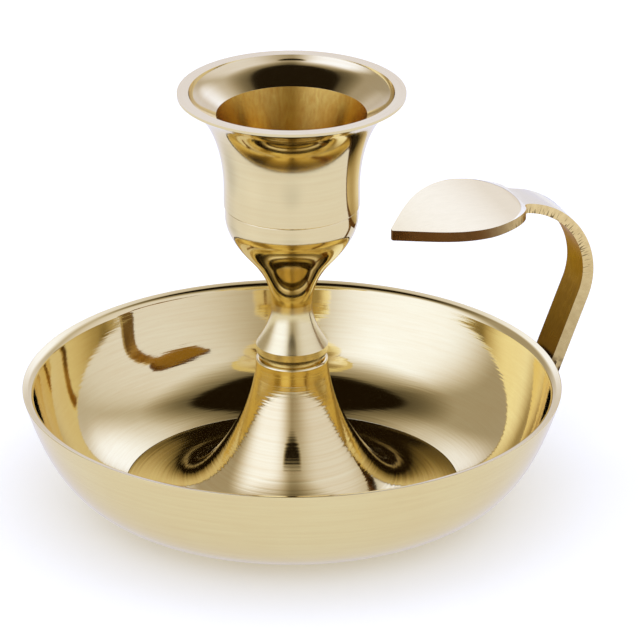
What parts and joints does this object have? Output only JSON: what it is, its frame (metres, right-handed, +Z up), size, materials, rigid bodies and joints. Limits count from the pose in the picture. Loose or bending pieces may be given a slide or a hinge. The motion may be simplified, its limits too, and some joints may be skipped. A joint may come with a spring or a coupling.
{
  "type": "chamberstick",
  "caption": "brass chamberstick: flared candle cup on a trumpet pedestal in a drip bowl, carried by a strap finger loop with a leaf-shaped thumb pad",
  "frame": {"origin": "on the table, at the middle of the bowl's flat base, on the turning axis of bowl, pedestal and cup", "axes": "+Z up along the turning axis and out of the candle socket; the handle stands 20 degrees from +X towards +Y"},
  "size_m": [0.1061, 0.0998, 0.0798],
  "materials": {
    "polished_brass": "polished",
    "turned_brass": "polished, fine turning lines",
    "handle_brass": "polished faces, filed edges",
    "braze": "dull, darkened by heat",
    "screw_steel": "plated"
  },
  "bodies": {
    "base": {"drip_bowl": "polished_brass", "pedestal": "turned_brass", "washer": "screw_steel", "handle": "handle_brass", "handle_braze": "braze"},
    "screw": {"tie_screw": "screw_steel"},
    "cup": {"candle_cup": "polished_brass"}
  },
  "joints": [
    {"name": "screw_turn", "type": "hinge", "parent": "base", "child": "screw", "pos_m": [0, 0, 0], "axis": [0, 0, -1], "range_deg": [0, 3601]},
    {"name": "cup_lift", "type": "slide", "parent": "base", "child": "cup", "axis": [0, 0, 1], "range_m": [0, 0.008]}
  ],
  "couplings": [
    {"joint": "screw_turn", "follows": "cup_lift", "rad_per_m": 7854}
  ]
}
